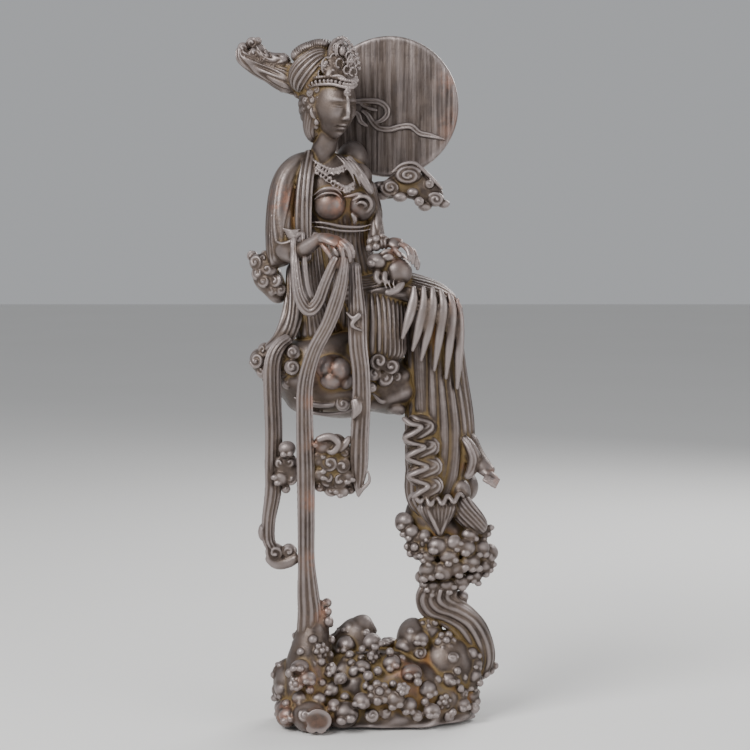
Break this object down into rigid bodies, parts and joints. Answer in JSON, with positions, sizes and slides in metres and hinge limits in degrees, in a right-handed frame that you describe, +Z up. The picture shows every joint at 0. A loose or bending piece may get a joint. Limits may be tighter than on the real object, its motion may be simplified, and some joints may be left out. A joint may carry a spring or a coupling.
{
  "type": "moon goddess statue",
  "caption": "Cast bronze-toned statue of a seated moon goddess with a rabbit in her lap, before a full moon, held over a cloud base by scarf ends and a cloud pillar.",
  "frame": {"origin": "middle of the footprint at the flat underside", "axes": "+Z up, the figure faces -Y, the moon is at her left shoulder towards +X"},
  "size_m": [0.0912, 0.049, 0.2363],
  "materials": {
    "antique_bronze": "dark brown antique patina, lighter lilac-grey where the relief is rubbed, ochre dust in the recesses"
  },
  "bodies": {
    "root": {"statue": "antique_bronze"}
  },
  "joints": []
}
